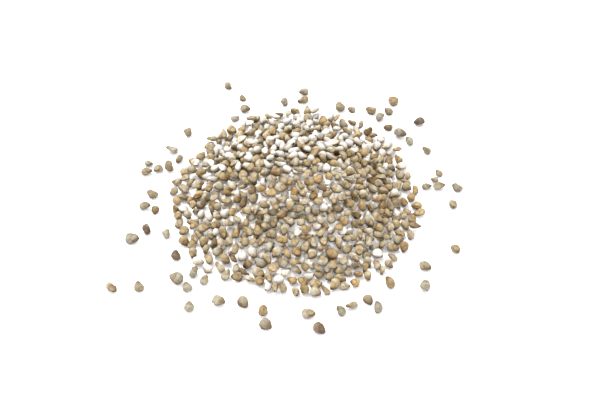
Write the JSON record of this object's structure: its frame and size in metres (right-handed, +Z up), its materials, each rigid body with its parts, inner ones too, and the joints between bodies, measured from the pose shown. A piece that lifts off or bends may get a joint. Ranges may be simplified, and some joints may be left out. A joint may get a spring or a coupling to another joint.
{
  "type": "heap of millet grains",
  "caption": "Low conical heap of dry pearl millet grains poured on a flat surface, with loose grains scattered round its foot.",
  "frame": {"origin": "middle of the heap's flat underside, on the surface that it lies on", "axes": "+Z up, +Y to the back of the heap as the picture shows it, +X to its right"},
  "size_m": [0.1154, 0.1166, 0.0171],
  "materials": {
    "kernel_cream": "matt, pale grey cream husk",
    "kernel_tan": "matt, tan husk",
    "kernel_golden": "slight sheen, golden husk",
    "kernel_brown": "matt, brown husk"
  },
  "bodies": {
    "root": {"millet_heap": "kernel_tan", "stray_back_1": "kernel_tan", "stray_back_2": "kernel_tan", "stray_back_3": "kernel_tan", "stray_back_4": "kernel_cream", "stray_back_5": "kernel_tan", "stray_back_6": "kernel_tan", "stray_back_7": "kernel_golden", "stray_back_8": "kernel_tan", "stray_back_9": "kernel_cream", "stray_back_10": "kernel_golden", "stray_back_11": "kernel_tan", "stray_back_12": "kernel_tan", "stray_back_13": "kernel_golden", "stray_back_14": "kernel_golden", "stray_back_15": "kernel_brown", "stray_back_16": "kernel_cream", "stray_back_17": "kernel_tan", "stray_back_18": "kernel_tan", "stray_left_1": "kernel_tan", "stray_left_2": "kernel_cream", "stray_left_3": "kernel_tan", "stray_left_4": "kernel_golden", "stray_left_5": "kernel_cream", "stray_left_6": "kernel_tan", "stray_left_7": "kernel_tan", "stray_left_8": "kernel_tan", "stray_left_9": "kernel_cream", "stray_left_10": "kernel_golden", "stray_left_11": "kernel_brown", "stray_left_12": "kernel_tan", "stray_left_13": "kernel_tan", "stray_left_14": "kernel_brown", "stray_left_15": "kernel_tan", "stray_left_16": "kernel_cream", "stray_left_17": "kernel_tan", "stray_left_18": "kernel_tan", "stray_front_1": "kernel_tan", "stray_front_2": "kernel_cream", "stray_front_3": "kernel_tan", "stray_front_4": "kernel_cream", "stray_front_5": "kernel_cream", "stray_front_6": "kernel_golden", "stray_front_7": "kernel_tan", "stray_front_8": "kernel_cream", "stray_front_9": "kernel_brown", "stray_front_10": "kernel_tan", "stray_front_11": "kernel_tan", "stray_front_12": "kernel_tan", "stray_front_13": "kernel_cream", "stray_front_14": "kernel_golden", "stray_right_1": "kernel_tan", "stray_right_2": "kernel_cream", "stray_right_3": "kernel_tan", "stray_right_4": "kernel_tan", "stray_right_5": "kernel_tan", "stray_right_6": "kernel_cream", "stray_right_7": "kernel_tan", "stray_right_8": "kernel_tan", "stray_right_9": "kernel_tan"}
  },
  "joints": []
}
